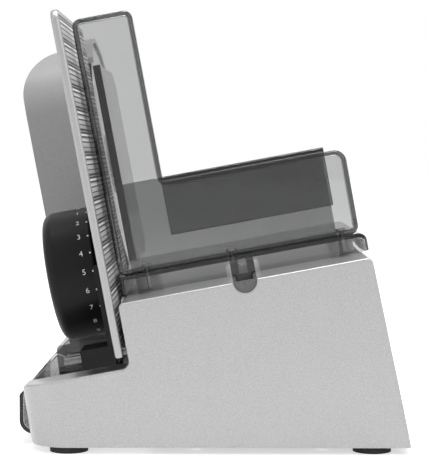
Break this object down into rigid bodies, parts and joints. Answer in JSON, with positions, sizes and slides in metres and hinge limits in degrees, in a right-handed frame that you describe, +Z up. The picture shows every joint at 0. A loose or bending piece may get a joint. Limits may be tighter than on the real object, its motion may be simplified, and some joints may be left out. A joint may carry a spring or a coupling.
{
  "type": "food slicer",
  "caption": "Electric food slicer with a leaning round blade, sliding smoke-clear carriage, remnant holder, fluted stop plate, thickness dial and slide-out tray.",
  "frame": {"origin": "middle of the footprint, on the table", "axes": "+Z up, +Y along the blade plane away from the operator, +X from the blade towards the carriage"},
  "size_m": [0.2434, 0.345, 0.2538],
  "materials": {
    "silver_paint": "fine metallic silver paint, satin",
    "grey_paint": "fine metallic grey paint, satin",
    "fluted_steel": "polished, pressed with flutes, brushed edge",
    "blade_steel": "fine turned finish, bright bevel",
    "smoke_plastic": "clear smoke-tinted plastic, gloss",
    "black_plastic": "satin black",
    "dark_plastic": "satin dark grey",
    "white_plastic": "plain natural white",
    "rubber": "dull black",
    "steel": "plain steel",
    "brass": "plain",
    "board": "green board",
    "film_cap": "yellow",
    "copper": "wound copper and iron"
  },
  "bodies": {
    "base": {"base_housing": "silver_paint", "bottom_cover": "dark_plastic", "feet": "rubber", "cover_screws": "steel", "guide_rail": "dark_plastic", "rail_screws": "steel", "blade_wall": "silver_paint", "wall_screws": "steel", "motor_housing": "grey_paint", "housing_screws": "steel", "gear_frame": "dark_plastic", "blade_axle": "steel", "motor_can": "steel", "motor_mount": "dark_plastic", "motor_screws": "steel", "rotor_bearings": "brass", "switch_frame": "black_plastic", "circuit_board": "board", "capacitor": "film_cap", "cord_inlet": "black_plastic", "guide_rods": "steel", "setting_screw": "steel", "button_spring": "steel"},
    "stop": {"stop_plate": "fluted_steel", "stop_carrier": "black_plastic", "stop_screws": "steel", "dial_spindle": "steel"},
    "nut": {"setting_nut": "brass"},
    "dial": {"thickness_dial": "black_plastic"},
    "blade": {"blade": "blade_steel", "blade_gear": "white_plastic", "blade_rivets": "steel"},
    "lock": {"blade_lock": "black_plastic"},
    "pinion": {"drive_pinion": "brass", "pinion_shaft": "steel", "worm_wheel": "white_plastic"},
    "rotor": {"worm": "steel", "rotor_shaft": "steel", "armature": "copper", "cooling_fan": "black_plastic"},
    "carriage": {"carriage_plate": "smoke_plastic", "carriage_guard": "smoke_plastic", "carriage_screws": "steel", "carriage_keel": "dark_plastic", "slide_pads": "white_plastic"},
    "holder": {"remnant_holder": "smoke_plastic"},
    "tray": {"food_tray": "smoke_plastic"},
    "switch": {"power_switch": "black_plastic"},
    "button": {"safety_button": "black_plastic"}
  },
  "joints": [
    {"name": "carriage_slide", "type": "slide", "parent": "base", "child": "carriage", "axis": [0, 1, 0], "range_m": [0, 0.15]},
    {"name": "holder_slide", "type": "slide", "parent": "carriage", "child": "holder", "axis": [0.9833, 0, 0.1822], "range_m": [0, 0.08]},
    {"name": "tray_slide", "type": "slide", "parent": "base", "child": "tray", "axis": [-1, 0, 0], "range_m": [0, 0.11]},
    {"name": "dial_turn", "type": "hinge", "parent": "stop", "child": "dial", "pos_m": [-0.06909, -0.1125, 0.09843], "axis": [-0.9833, 0, -0.1822], "range_deg": [0, 300]},
    {"name": "stop_slide", "type": "slide", "parent": "base", "child": "stop", "axis": [-0.9833, 0, -0.1822], "range_m": [0, 0.02]},
    {"name": "nut_turn", "type": "hinge", "parent": "stop", "child": "nut", "pos_m": [-0.05488, -0.1125, 0.07665], "axis": [-0.9833, 0, -0.1822], "range_deg": [0, 1200]},
    {"name": "rotor_spin", "type": "hinge", "parent": "base", "child": "rotor", "pos_m": [-0.07894, 0.0815, 0.08846], "axis": [-0.1822, 0, 0.9833], "continuous": true},
    {"name": "pinion_spin", "type": "hinge", "parent": "base", "child": "pinion", "pos_m": [-0.07506, 0.0645, 0.13063], "axis": [0.9833, 0, 0.1822], "continuous": true},
    {"name": "blade_spin", "type": "hinge", "parent": "base", "child": "blade", "pos_m": [-0.06072, 0.0645, 0.16303], "axis": [0.9833, 0, 0.1822], "continuous": true},
    {"name": "lock_turn", "type": "hinge", "parent": "blade", "child": "lock", "pos_m": [-0.06072, 0.0645, 0.16303], "axis": [0.9833, 0, 0.1822], "range_deg": [0, 90]},
    {"name": "switch_rock", "type": "hinge", "parent": "base", "child": "switch", "pos_m": [-0.09586, 0.133, 0.10567], "axis": [0, 1, 0], "range_deg": [-8, 8]},
    {"name": "button_press", "type": "slide", "parent": "base", "child": "button", "axis": [0.9833, 0, 0.1822], "range_m": [0, 0.003], "stiffness_N_per_m": 300, "springref_m": -0.002, "deforming": ["button_spring"]}
  ],
  "couplings": [
    {"joint": "dial_turn", "follows": "stop_slide", "rad_per_m": 261.8},
    {"joint": "nut_turn", "follows": "stop_slide", "rad_per_m": 1047.2},
    {"joint": "pinion_spin", "follows": "rotor_spin", "ratio": -0.041667},
    {"joint": "blade_spin", "follows": "rotor_spin", "ratio": -0.011574}
  ]
}
